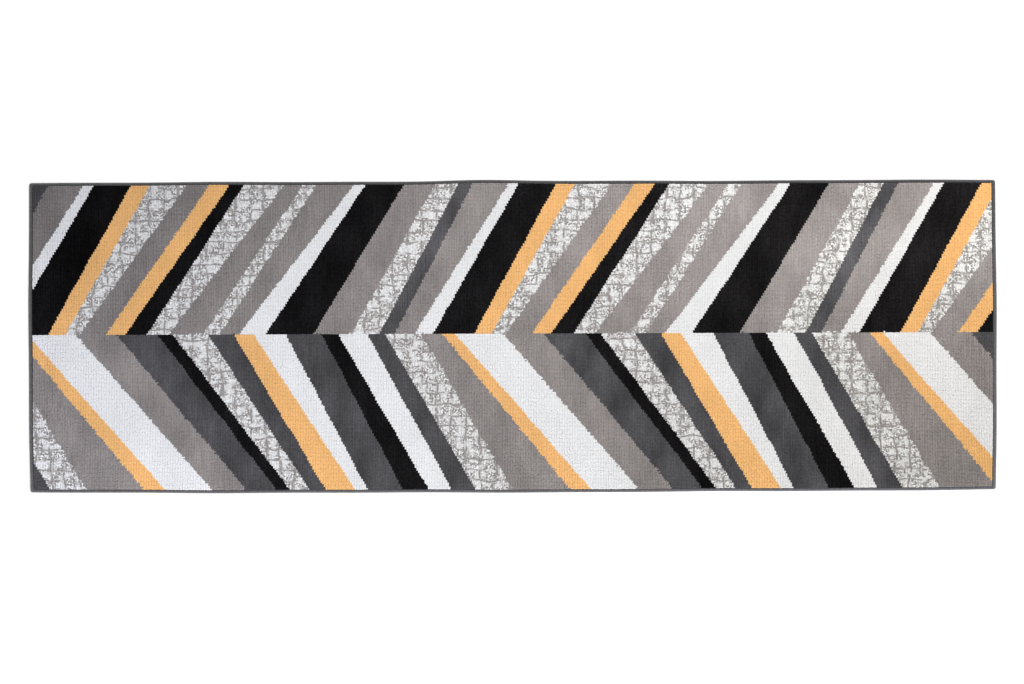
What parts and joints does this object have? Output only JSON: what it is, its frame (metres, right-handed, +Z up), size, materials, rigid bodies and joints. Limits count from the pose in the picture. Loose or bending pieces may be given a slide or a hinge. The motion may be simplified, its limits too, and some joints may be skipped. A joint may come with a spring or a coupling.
{
  "type": "runner rug",
  "caption": "Long flat runner rug with a low pile of slanting colour stripes in two bands and a serged edge.",
  "frame": {"origin": "middle of the underside, on the floor", "axes": "+X along the rug, +Y across it towards the narrower band, whose stripes lean towards +X at that edge, +Z up through the pile"},
  "size_m": [2.5, 0.8, 0.009],
  "materials": {
    "pile_black": "black cut pile yarn, matt, fine ribs across the rug",
    "pile_slate": "dark slate grey cut pile yarn, matt, soft furry edges",
    "pile_grey": "warm mid grey cut pile yarn, matt, brushed nap patches",
    "pile_ivory": "off-white cut pile yarn, matt",
    "pile_speckle": "off-white and grey pile yarns woven in a fine crackle pattern, matt",
    "pile_mustard": "mustard orange cut pile yarn, matt",
    "serging_yarn": "charcoal yarn wrapped closely round the rim",
    "ground_weave": "coarse jute and polyester ground weave",
    "latex_coat": "thin matt latex coat that takes the weave's ribs"
  },
  "bodies": {
    "root": {"ground_weave": "ground_weave", "latex_coat": "latex_coat", "pile_across_12_09_speckle": "pile_speckle", "pile_across_14_12_ivory": "pile_ivory", "pile_across_18_16_slate": "pile_slate", "pile_across_29_24_speckle": "pile_speckle", "pile_across_31_27_ivory": "pile_ivory", "pile_across_35_31_slate": "pile_slate", "pile_field_grey": "pile_grey", "pile_lower_01_slate": "pile_slate", "pile_lower_02_speckle": "pile_speckle", "pile_lower_04_mustard": "pile_mustard", "pile_lower_05_ivory": "pile_ivory", "pile_lower_07_slate": "pile_slate", "pile_lower_08_black": "pile_black", "pile_lower_10_slate": "pile_slate", "pile_lower_11_mustard": "pile_mustard", "pile_lower_13_slate": "pile_slate", "pile_lower_14_black": "pile_black", "pile_lower_15_ivory": "pile_ivory", "pile_lower_17_speckle": "pile_speckle", "pile_lower_19_mustard": "pile_mustard", "pile_lower_20_ivory": "pile_ivory", "pile_lower_22_slate": "pile_slate", "pile_lower_23_black": "pile_black", "pile_lower_25_slate": "pile_slate", "pile_lower_26_mustard": "pile_mustard", "pile_lower_28_slate": "pile_slate", "pile_lower_29_black": "pile_black", "pile_lower_30_ivory": "pile_ivory", "pile_lower_32_speckle": "pile_speckle", "pile_lower_34_mustard": "pile_mustard", "pile_lower_35_ivory": "pile_ivory", "pile_lower_37_slate": "pile_slate", "pile_upper_01_slate": "pile_slate", "pile_upper_03_ivory": "pile_ivory", "pile_upper_04_black": "pile_black", "pile_upper_05_mustard": "pile_mustard", "pile_upper_06_speckle": "pile_speckle", "pile_upper_08_mustard": "pile_mustard", "pile_upper_09_black": "pile_black", "pile_upper_10_speckle": "pile_speckle", "pile_upper_15_black": "pile_black", "pile_upper_17_speckle": "pile_speckle", "pile_upper_20_ivory": "pile_ivory", "pile_upper_21_black": "pile_black", "pile_upper_22_mustard": "pile_mustard", "pile_upper_23_speckle": "pile_speckle", "pile_upper_25_mustard": "pile_mustard", "pile_upper_26_black": "pile_black", "pile_upper_27_speckle": "pile_speckle", "pile_upper_32_black": "pile_black", "pile_upper_34_speckle": "pile_speckle", "pile_upper_37_ivory": "pile_ivory", "pile_upper_38_black": "pile_black", "pile_upper_39_mustard": "pile_mustard", "pile_upper_40_speckle": "pile_speckle", "pile_upper_42_mustard": "pile_mustard", "pile_upper_43_black": "pile_black", "serged_edge": "serging_yarn"}
  },
  "joints": []
}
